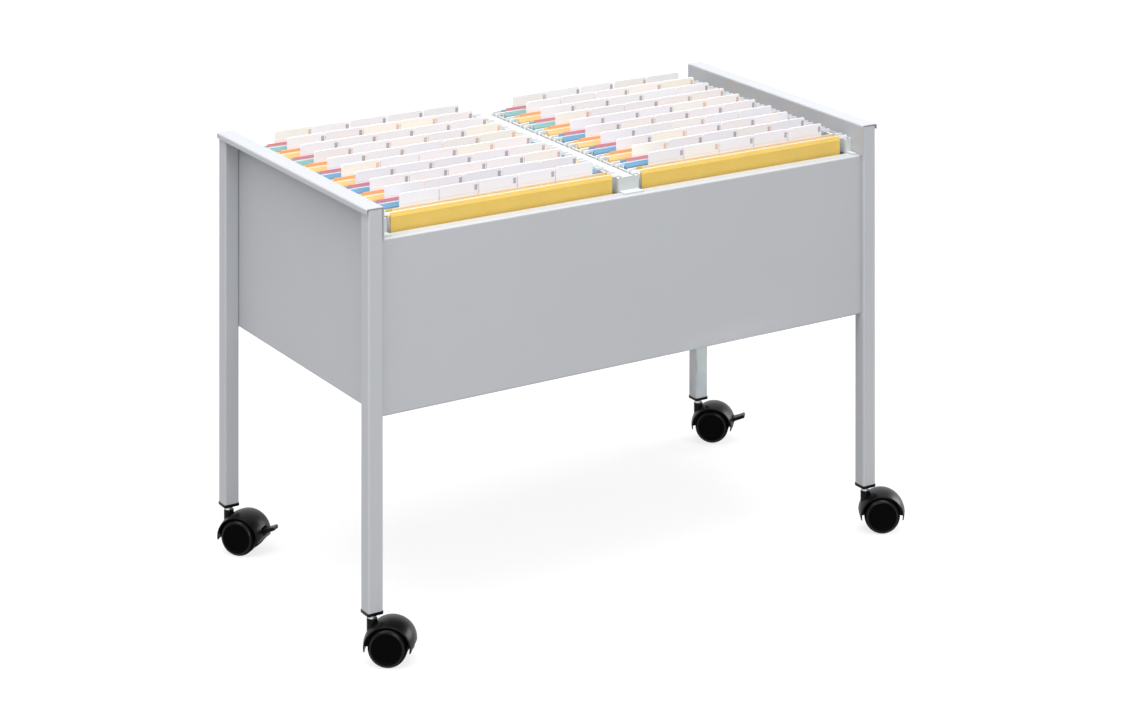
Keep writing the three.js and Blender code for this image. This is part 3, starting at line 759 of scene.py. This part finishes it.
    def hub(self):
        """The round boss of the web: a square-edged ring about the axle, wrapped on itself."""
        angle = once_round(self.ROUND_STEPS)[:, None]
        radius = np.array([self.HUB, self.HUB, self.WEB_FOOT, self.WEB_FOOT])
        y = np.array([-1.0, 1.0, 1.0, -1.0]) * (self.WEB + self.HUB_PROUD)
        x, z = self.trail + radius * np.cos(angle), self.axle + radius * np.sin(angle)
        return Shell(np.stack([x, y + 0 * angle, z], -1), wrap=True)

    def boss(self, top):
        """The stem's boss: circles that rise from just under the hood's surface to a rounded top."""
        angle = once_round(self.ROUND_STEPS)
        x, y = self.BOSS * np.cos(angle), self.BOSS * np.sin(angle)
        under = (self.outer_radius(y) - self.BOSS_SUNK) ** 2 - ((x - self.trail) / self.stretch) ** 2
        foot = self.middle + np.sqrt(np.maximum(under, 0.0))
        rise, drop, shrink = np.array(self.BOSS_RINGS).T[..., None]
        return Shell(np.stack([x * shrink, y * shrink, foot + (top - foot) * rise - drop], -1))


class CART_OT_mould_hoods(bpy.types.Operator):
    """Moulds the caster hoods: a crowned wall over the axle, a web between the wheels and the stem's boss"""

    bl_idname = "cart.mould_hoods"
    bl_label = "Mould Hoods"

    SHARP = 40

    def execute(self, context):
        form = HoodForm(context.scene.cart_casters)
        black = shared(moulded_black, context.scene.cart_finishes)
        for corner in CORNERS:
            node = f"caster_housing_{corner}"
            slotted = corner in BRAKED
            shells = [form.web(slotted), form.hub(), form.boss(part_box(node)[1].z / MM)] + form.walls(slotted)
            build_piece(f"hood_{corner}", shells, caster_place(corner), [black], f"caster_{corner}",
                        [node], self.SHARP)
        return {"FINISHED"}


class CART_OT_turn_wheels(bpy.types.Operator):
    """Turns the wheels: a tread that rounds off to a sunk, slightly dished face, hollow on the inner side"""

    bl_idname = "cart.turn_wheels"
    bl_label = "Turn Wheels"

    STEPS, SHOULDER_STEPS = 72, 15
    # Depth and width of the outer shoulder and of the inner heel
    DEEP, WIDE, HEEL_DEEP, HEEL_WIDE = 6.2, 6.8, 3.6, 4.6
    # Blind bore and hub as radius and place from the caster's middle, and hollow from the inner face
    HUB = ((0.4, 14.3), (3.15, 14.3), (3.15, 3.5), (6.6, 3.5), (7.0, 3.9))
    HOLLOW = ((7.0, 5.0), (19.0, 5.0), (19.0, 0.4), (19.4, 0.0))
    # Face as steps in from the shoulder and how far they are sunk, with the radius and depth of its middle
    FACE = ((0.6, 0.0), (1.1, 0.4), (6.0, 0.6))
    CORE, DISH = 0.4, 0.8

    def profile(self, casters):
        """Loop of (radius, place along the axle) from the blind bore round the rim to the face. Shoulder and
        heel are quarter ellipses: (radius - d (1 - cos t), edge - w (1 - sin t)), d deep and w wide."""
        radius = casters.wheel_radius / MM
        inner = casters.wheel_inner / MM
        outer = inner + casters.wheel_width / MM
        turn = np.linspace(0, np.pi / 2, self.SHOULDER_STEPS)
        roll, slide = 1 - np.cos(turn), 1 - np.sin(turn)
        shoulder = np.stack([radius - self.DEEP * roll, outer - self.WIDE * slide], -1)
        heel = np.stack([radius - self.HEEL_DEEP * roll, inner + self.HEEL_WIDE * slide], -1)[::-1]
        hollow = [(r, inner + place) for r, place in self.HOLLOW]
        face = [(radius - self.DEEP - step, outer - sunk) for step, sunk in self.FACE]
        return np.concatenate([self.HUB, hollow, heel, shoulder, face, [(self.CORE, outer - self.DISH)]])

    def execute(self, context):
        casters = context.scene.cart_casters
        profile = self.profile(casters)
        rings = lathe(profile, self.STEPS)
        marks = np.zeros_like(rings)
        marks[..., 0] = profile[:, :1]
        middle = np.array([casters.trail, 0.0, casters.wheel_radius]) / MM
        black = wheel_black(context.scene.cart_finishes)
        for corner in CORNERS:
            for hand, side in (("left", 1), ("right", -1)):
                shell = Shell(rings, marks=marks)
                shell.points = shell.points[:, [0, 2, 1]] * np.array([-side, side, 1.0]) + middle
                body = f"wheel_{hand}_{corner}"
                place = caster_place(corner)
                build_piece(body, [shell], place, [black], body, [f"caster_{body}"])
        return {"FINISHED"}


class CART_OT_shape_levers(bpy.types.Operator):
    """Shapes the brake levers: a tongue with a dished top that flares from a round boss on its pin"""

    bl_idname = "cart.shape_levers"
    bl_label = "Shape Levers"

    # Pivot: its height over the hood's inner radius, its angle about the axle, and the tongue's tilt
    PIVOT, PIVOT_ANGLE, TILT = 0.6, math.radians(15), math.radians(18)
    # Tongue: length, half height, rise of its underside and dish of its top
    TONGUE, HALF, RISE, DISH, STEPS = 18.0, 2.9, 0.9, 2.4, 15
    # Nose: the middle, radii and half angle of its ellipse
    NOSE, NOSE_RADII, NOSE_ANGLE, NOSE_STEPS = (17.7, 0.45), (0.9, 2.3), 1.2, 7
    # Pin's radius, and points round the pin and the boss
    PIN, ROUND_STEPS = 0.9, 28
    # Half width and bevel of the tongue, the boss and the pin
    SPANS = ((6.0, 0.35), (5.98, 0.3), (7.8, 0.2))

    def tongue(self):
        """Outline (x, z) from the pivot: at a share s of the length L the underside is (L s, rise s - half)
        and the top (L s, half - dish s (1 - s)). An arc of an ellipse joins them."""
        share = np.linspace(0, 1, self.STEPS)
        under = np.stack([self.TONGUE * share, -self.HALF + self.RISE * share], -1)
        upper = np.stack([self.TONGUE * share, self.HALF - self.DISH * share * (1 - share)], -1)
        bend = np.linspace(-self.NOSE_ANGLE, self.NOSE_ANGLE, self.NOSE_STEPS)
        nose = np.array(self.NOSE) + np.array(self.NOSE_RADII) * np.stack([np.cos(bend), np.sin(bend)], -1)
        tilt = np.array([
            [math.cos(self.TILT), math.sin(self.TILT)],
            [-math.sin(self.TILT), math.cos(self.TILT)],
        ])
        return np.concatenate([under, nose, upper[::-1]]) @ tilt

    def execute(self, context):
        form = HoodForm(context.scene.cart_casters)
        pivot = np.array(form.polar(form.inner + self.PIVOT, self.PIVOT_ANGLE))
        angle = once_round(self.ROUND_STEPS)
        circle = np.stack([np.cos(angle), np.sin(angle)], -1)
        outlines = (self.tongue(), self.HALF * circle, self.PIN * circle)
        black = shared(moulded_black, context.scene.cart_finishes)
        for corner in BRAKED:
            shells = [Shell(plate(outline + pivot, -half, half, bevel))
                      for outline, (half, bevel) in zip(outlines, self.SPANS)]
            build_piece(f"lever_{corner}", shells, caster_place(corner), [black], f"brake_{corner}",
                        [f"brake_lever_{corner}"])
        return {"FINISHED"}


# Hanging files

class FileForm:
    """The shells of one hanging file: x along its card, y from its middle to the rear, and z from the tops of
    the rails."""

    # Card: top, foot and width of its hem, its wall, half width of its foot, and height of its knee
    HEM_TOP, HEM_FOOT, HEM, LEAF, BASE, KNEE = 4.6, -7.4, 3.2, 0.9, 5.0, 24.0
    # Hem: radius of its crest, edge of its foot, and its slope as steps inwards and down from the top
    CREST, CREST_STEPS, EDGE = 0.5, 4, 0.3
    SLOPE = ((0.0, 6.6), (0.1, 6.1), (0.25, 5.8), (2.0, 0.7), (2.2, 0.25), (2.5, 0.0))
    # Setback of the inner foot as a share of the wall, and rings along the card
    FOLD, STATIONS = 0.6, 3
    # Inner folder: its margins left, right and at the foot, its gap to the hem, thickness and bevel
    FOLDER_MARGINS, FOLDER_GAP, FOLDER, FOLDER_BEVEL = (8.0, 3.0, 6.0), 0.25, 0.8, 0.1
    # Papers: margins left, right and at the foot, height of the top, and most that is cropped left and above
    PAGE_MARGINS, PAGE_TOP, CROP = (0.5, 10.0, 4.0), -1.0, (1.5, 3.0)
    # Sheaves: thickness, corners and their points, bevel, and the gaps before, between and behind them
    SHEAF, SHEAF_CORNER, CORNER_STEPS, SHEAF_BEVEL = (0.9, 1.7), 0.5, 2, 0.05
    SHEAF_GAPS = (0.4, 0.15, 2.6)
    # Hanger bars: thickness, room in the hem, bevel, reach past the card, and the right end beyond that reach
    BAR, BAR_ROOM, BAR_BEVEL, BAR_REACH = 1.2, 1.6, 0.15, 11.1
    HOOK = ((0.0, 0.3), (0.0, -4.5), (2.2, -4.5), (2.2, 2.6), (0.8, 4.0))
    # Tabs: their grip in the hem, half thickness, bevel, corners, and how far they sink and lean
    GRIP, TAB_HALF, TAB_BEVEL, TAB_FOOT_CORNER, TAB_CORNER = 3.0, 0.6, 0.15, 0.6, 2.6
    TAB_SINK, TAB_LEAN = (0.0, 0.7), (-0.05, 0.03)

    def __init__(self, files):
        self.files = files
        self.end = files.card_length / MM / 2
        self.half = files.thickness / MM / 2
        self.bottom = -files.height / MM
        self.bar = self.half - (self.HEM + self.BAR_ROOM) / 2

    def card(self):
        """The folded card: a loop (y, z) carried along x. It goes up one outer face, in along the slope of
        its hem, over the rounded crest and down inside, and the same on the other side."""
        half, hem, leaf = self.half, self.half - self.HEM, self.half - self.LEAF
        knee = self.bottom + self.KNEE
        slope = np.array([half, self.HEM_TOP]) - np.array(self.SLOPE)
        turn = np.linspace(0, np.pi / 2, self.CREST_STEPS)[1:]
        round_off = self.CREST * (1 - np.stack([np.sin(turn), np.cos(turn)], -1))
        crest = np.array([hem, self.HEM_TOP]) + round_off * np.array([1.0, -1.0])
        inner = [
            (hem, self.HEM_FOOT + self.EDGE), (hem + self.EDGE, self.HEM_FOOT), (leaf, self.HEM_FOOT),
            (leaf, knee), (self.BASE - self.LEAF * self.FOLD, self.bottom + self.LEAF),
        ]
        right = np.concatenate([[(self.BASE, self.bottom), (half, knee)], slope, crest, inner])
        loop = np.concatenate([right, right[::-1] * np.array([-1.0, 1.0])])
        stations = np.linspace(-self.end, self.end, self.STATIONS)
        return Shell(np.stack([np.insert(loop, 0, x, axis=1) for x in stations]))

    def inset(self, left, right, foot):
        """Left, right and foot of a sheet with these margins to the card."""
        return -self.end + left, self.end - right, self.bottom + foot

    def contents(self, chance, rise):
        """An inner folder at the rear that rises over the card, and sheaves of paper in front of it, cropped
        by chance at their left and top."""
        left, right, foot = self.inset(*self.FOLDER_MARGINS)
        top = self.HEM_TOP + rise
        rear = self.half - self.HEM - self.FOLDER_GAP
        folder = [(left, foot), (right, foot), (right, top), (left, top)]
        shells = [Shell(plate(folder, rear - self.FOLDER, rear, self.FOLDER_BEVEL))]
        left, right, foot = self.inset(*self.PAGE_MARGINS)
        before, between, behind = self.SHEAF_GAPS
        front = -self.half + self.HEM + before
        while front < rear - behind:
            thick = chance.uniform(*self.SHEAF)
            crop_left, crop_top = chance.uniform(0.0, 1.0, 2) * np.array(self.CROP)
            page = rounded_rectangle(left + crop_left, right, foot, self.PAGE_TOP - crop_top,
                                     self.SHEAF_CORNER, self.SHEAF_CORNER, self.CORNER_STEPS)
            shells.append(Shell(plate(page, front, front + thick, self.SHEAF_BEVEL), finish=1))
            front += thick + between
        return shells

    def hangers(self):
        """Two bars, each with a hook at both ends that drops behind the wall of its rail."""
        reach, thin = self.end + self.BAR_REACH, self.BAR / 2
        outline = [(reach + x, z) for x, z in self.HOOK] + [(-reach - x, z) for x, z in self.HOOK[::-1]]
        return [Shell(plate(outline, y - thin, y + thin, self.BAR_BEVEL)) for y in (-self.bar, self.bar)]

    def tabs(self, chance):
        """A row of tabs in the rear hem. A tab leans by a share of its height over the hem. Its marks are the
        shares across and up it, and a number of its own."""
        files = self.files
        wide = files.tab_width / MM / 2
        shells = []
        for number in range(files.tab_count):
            middle = files.tab_shift / MM + (number - (files.tab_count - 1) / 2) * files.tab_pitch / MM
            top = self.HEM_TOP + files.tab_rise / MM - chance.uniform(*self.TAB_SINK)
            face = rounded_rectangle(middle - wide, middle + wide, self.HEM_TOP - self.GRIP, top,
                                     self.TAB_FOOT_CORNER, self.TAB_CORNER)
            rings = plate(face, self.bar - self.TAB_HALF, self.bar + self.TAB_HALF, self.TAB_BEVEL)
            above = rings[..., 2] - self.HEM_TOP
            rings[..., 1] += chance.uniform(*self.TAB_LEAN) * np.maximum(above, 0.0)
            across = (rings[..., 0] - middle + wide) / (2 * wide)
            pick = np.full_like(above, chance.uniform())
            shells.append(Shell(rings, marks=np.stack([across, above / (top - self.HEM_TOP), pick], -1)))
        return shells


class CART_OT_fold_files(bpy.types.Operator):
    """Folds the hanging files: a card with hems, an inner folder, papers, hanger bars and a row of tabs"""

    bl_idname = "cart.fold_files"
    bl_label = "Fold Files"

    SEED = 20
    SHARP = 24
    ROW_CARDS = ("yellow", "blue", "orange", "blue", "orange", "blue", "orange", "teal", "orange", "teal")
    # Inner folder of each card, and how far it rises over the card
    LININGS = {"yellow": ("buff", 0.2), "orange": ("amber", 1.6), "blue": ("red", 1.6), "teal": ("red", 1.6)}

    def execute(self, context):
        files = context.scene.cart_files
        form = FileForm(files)
        chance = np.random.default_rng(self.SEED)
        dyes = ("yellow", "orange", "blue", "teal", "red", "amber", "buff")
        cards = {dye: dyed_card(f"card_{dye}", getattr(files, dye)) for dye in dyes}
        paper = paper_stack(files)
        inserts = [
            # The front row's inserts are a darker copy of the others, painted shade.
            tab_insert("tab_insert_front", files, files.front_painted_shade),
            tab_insert("tab_insert", files, 1.0),
        ]
        steel = hanger_steel(context.scene.cart_finishes)
        for bay in BAYS:
            for row, card in enumerate(self.ROW_CARDS):
                label = f"{bay}_{row + 1:02d}"
                node = f"hanging_file_{label}"
                body = f"file_{label}"
                lining, rise = self.LININGS[card]
                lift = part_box(node)[0].z / MM - form.bottom
                hung = shifted(middle_of(node) + np.array([0.0, 0.0, lift]))
                contents = form.contents(chance, rise)
                tabs = form.tabs(chance)
                folded = [form.card()]
                build_piece(f"card_{label}", folded, hung, [cards[card]], body, [node], self.SHARP)
                build_piece(f"contents_{label}", contents, hung, [cards[lining], paper], body)
                build_piece(f"hangers_{label}", form.hangers(), hung, [steel], body)
                # The front row takes the inserts with painted shade.
                build_piece(f"tabs_{label}", tabs, hung, [inserts[min(row, 1)]], body)
        return {"FINISHED"}


# Studio

# Camera: picture, focal length and centre of view in pixels, its skew, turn and stand, the width of its
# sensor in millimetres, and how far it sees
IMAGE = (1136.0, 715.0)
FOCUS, CENTRE, SKEW = 2941.4007, (837.1020, -614.4537), 0.0144
YAW = math.radians(35.887)
STAND = (-1.9835017, -3.3900200, 1.5381540)
SENSOR, FAR = 36.0, 100.0
# Floor: half its side, points along a side, its drop under the wheels, and where its glow turns to white
FLOOR, GRID, DROP, GLOW_NEAR, GLOW_FAR = 9.0, 7, 0.0002, 1.2, 3.5
# Overhead light: how wide it looks, its tilt and its height
OVERHEAD_ANGLE, OVERHEAD_HEIGHT = math.radians(50), 3.0
OVERHEAD_TILT = (math.radians(8), math.radians(-6), 0.0)
# Lamps: where each stands, what it faces, its side, and its spread in degrees
LAMPS = {
    "front": ((-0.5, -2.8, 2.6), (0.0, 0.0, 0.4), 2.0, 180),
    "left": ((-2.4, -0.5, 2.6), (0.0, 0.0, 0.4), 1.6, 180),
    "right": ((2.6, 0.1, 0.95), (0.0, 0.0, 0.1), 1.3, 180),
    "back": ((2.1, 3.8, 2.0), (0.0, 0.0, 0.5), 3.0, 180),
    "fill": ((-1.9, -3.1, 0.4), (0.0, 0.0, 0.25), 1.0, 180),
    "under": ((-1.5, -3.5, 0.06), (0.36, 0.2, 0.15), 0.08, 5),
}


def lay_floor(studio):
    """A flat grid of points just under the wheels, whose material is white where it is seen far off."""
    side = np.linspace(-FLOOR, FLOOR, GRID)
    x, y = np.meshgrid(side, side, indexing="ij")
    points = np.stack([x, y, np.full_like(x, -DROP)], -1).reshape(-1, 3)
    i, j = np.meshgrid(np.arange(GRID - 1), np.arange(GRID - 1), indexing="ij")
    corner = (i * GRID + j).ravel()
    quads = np.stack([corner, corner + GRID, corner + GRID + 1, corner + 1], -1)
    mesh = bpy.data.meshes.new("floor")
    mesh.from_pydata(points.tolist(), [], quads.tolist())
    mesh.materials.append(floor_cover(studio))
    floor = new_object("floor", mesh)


def floor_cover(studio):
    """Pale floor: faint clouds in its tone and gloss, and a glow that turns white away from the cart."""
    cover = Finish("floor_cover", Specular_IOR_Level=0.1, Emission_Strength=1.0)
    away = cover.node("ShaderNodeVectorMath", {"operation": "LENGTH"}, {0: cover.place()}, "Value")
    near = shade((studio.floor_glow,) * 3)
    white = cover.mix(cover.spread(away, GLOW_NEAR, GLOW_FAR), near, WHITE)
    glow = cover.mix(cover.seen(), UNLIT, white)
    cloud = cover.noise(2.0, detail=3.0)
    tone = cover.tones(cloud, studio.floor, dark=0.99, light=1.01)
    return cover.feed(Base_Color=tone, Roughness=0.7 + 0.1 * cloud, Emission_Color=glow)


def light_surround(scene, studio):
    """White where it is seen, and a plain even light otherwise."""
    scene.world = bpy.data.worlds.new("surround")
    tree = Tree(scene.world)
    strength = studio.sky + tree.seen() * (1.0 - studio.sky)
    back = tree.node("ShaderNodeBackground", None, {"Color": WHITE, "Strength": strength})
    tree.node("ShaderNodeOutputWorld", None, {"Surface": back})


def hang_overhead(strength):
    """A soft light from above, a little in front and to the left, even over the whole floor."""
    light = bpy.data.lights.new("light_overhead", "SUN")
    light.energy = strength
    light.angle = OVERHEAD_ANGLE
    hung = new_object("light_overhead", light)
    hung.rotation_euler = OVERHEAD_TILT
    hung.location = (0.0, 0.0, OVERHEAD_HEIGHT)


def hang_lamp(name, watts, stand, target, side, spread):
    """A square lamp that faces its target."""
    lamp = bpy.data.lights.new(name, "AREA")
    lamp.spread = math.radians(spread)
    lamp.shape = "SQUARE"
    lamp.size = side
    lamp.energy = watts
    hung = new_object(name, lamp)
    hung.location = stand
    hung.rotation_euler = (Vector(target) - Vector(stand)).to_track_quat("-Z", "Y").to_euler()


def set_camera(scene):
    """The photograph keeps uprights parallel and its centre of view lies far above the picture, so the
    camera's axes are sheared: right + skew up, up, and the way to the picture's middle."""
    right = Vector((math.cos(YAW), -math.sin(YAW), 0.0))
    ahead = Vector((math.sin(YAW), math.cos(YAW), 0.0))
    up = Vector((0.0, 0.0, 1.0))
    across = (IMAGE[0] / 2 - CENTRE[0]) / FOCUS
    rise = (CENTRE[1] - IMAGE[1] / 2) / FOCUS + SKEW * across
    sight = ahead + across * right + rise * up
    reach = sight.length
    axes = (right + SKEW * up, up, -sight / reach, Vector(STAND))
    sheared = Matrix([[axis[k] for axis in axes] for k in range(3)] + [[0.0, 0.0, 0.0, 1.0]])
    lens = bpy.data.cameras.new("camera")
    lens.sensor_fit = "HORIZONTAL"
    lens.sensor_width = SENSOR
    lens.lens = SENSOR * FOCUS * reach / IMAGE[0]
    lens.clip_end = FAR
    camera = new_object("camera", lens)
    camera.parent = new_object("camera_stand", None)
    camera.matrix_parent_inverse = sheared
    scene.camera = camera


class CART_OT_build_studio(bpy.types.Operator):
    """Builds the studio: a pale floor, lamps, a white surround and the camera at the photograph's place"""

    bl_idname = "cart.build_studio"
    bl_label = "Build Studio"

    def execute(self, context):
        studio = context.scene.cart_studio
        lay_floor(studio)
        light_surround(context.scene, studio)
        hang_overhead(studio.overhead)
        for name, (stand, target, side, spread) in LAMPS.items():
            hang_lamp(f"lamp_{name}", getattr(studio, name), stand, target, side, spread)
        set_camera(context.scene)
        context.scene.view_settings.view_transform = "Standard"
        return {"FINISHED"}


# Sidebar and order of work

class CART_PT_sidebar(bpy.types.Panel):
    """Sizes, colours and making of the file cart"""

    bl_label = "File Cart"
    bl_idname = "CART_PT_sidebar"
    bl_space_type = "VIEW_3D"
    bl_region_type = "UI"
    bl_category = "File Cart"

    def draw(self, context):
        for group in GROUPS:
            box = self.layout.box()
            values = getattr(context.scene, group)
            for key in values.__annotations__:
                box.prop(values, key)
        for operator in OPERATORS:
            self.layout.operator(operator.bl_idname)


GROUPS = {
    "cart_finishes": CartFinishes,
    "cart_casters": CartCasters,
    "cart_files": CartFiles,
    "cart_studio": CartStudio,
}
OPERATORS = (
    CART_OT_coat_frame,
    CART_OT_finish_rails,
    CART_OT_finish_axles,
    CART_OT_mould_plugs,
    CART_OT_turn_stems,
    CART_OT_mould_hoods,
    CART_OT_turn_wheels,
    CART_OT_shape_levers,
    CART_OT_fold_files,
    CART_OT_build_studio,
)


def register():
    for name, group in GROUPS.items():
        bpy.utils.register_class(group)
        setattr(bpy.types.Scene, name, PointerProperty(type=group))
    for operator in OPERATORS:
        bpy.utils.register_class(operator)
    bpy.utils.register_class(CART_PT_sidebar)


def unregister():
    bpy.utils.unregister_class(CART_PT_sidebar)
    for operator in reversed(OPERATORS):
        bpy.utils.unregister_class(operator)
    for name, group in GROUPS.items():
        delattr(bpy.types.Scene, name)
        bpy.utils.unregister_class(group)


def main():
    register()
    bpy.ops.cart.coat_frame()
    bpy.ops.cart.finish_rails()
    bpy.ops.cart.finish_axles()
    bpy.ops.cart.mould_plugs()
    bpy.ops.cart.turn_stems()
    bpy.ops.cart.mould_hoods()
    bpy.ops.cart.turn_wheels()
    bpy.ops.cart.shape_levers()
    bpy.ops.cart.fold_files()
    bpy.ops.cart.build_studio()


if __name__ == "__main__":
    main()
